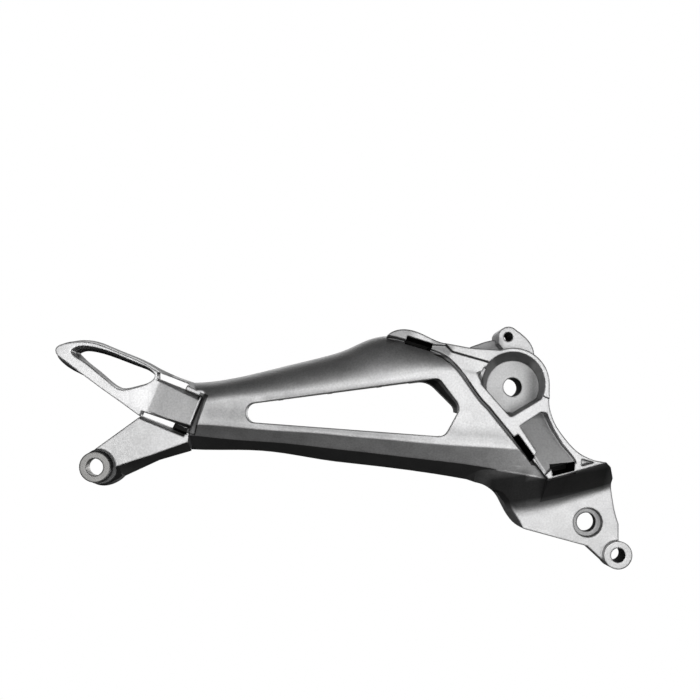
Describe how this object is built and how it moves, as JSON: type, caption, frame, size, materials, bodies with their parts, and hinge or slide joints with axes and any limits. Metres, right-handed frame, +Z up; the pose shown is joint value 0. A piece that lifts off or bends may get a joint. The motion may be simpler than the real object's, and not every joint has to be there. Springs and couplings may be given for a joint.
{
  "type": "motorcycle footrest hanger",
  "caption": "Cast aluminium right-hand footrest hanger with a windowed beam, a bolt cup and lower plate at the front, and a strap loop and drilled arm at the rear.",
  "frame": {"origin": "centre of the main bolt hole at the back face of its boss, the plane that meets the motorcycle frame", "axes": "+X forward on the motorcycle, along the beam; +Z up; the painted outer face looks to -Y and the bolt leaves along -Y"},
  "size_m": [0.4112, 0.0415, 0.1728],
  "materials": {
    "silver_paint": "satin silver paint over cast aluminium"
  },
  "bodies": {
    "root": {"hanger_casting": "silver_paint"}
  },
  "joints": []
}
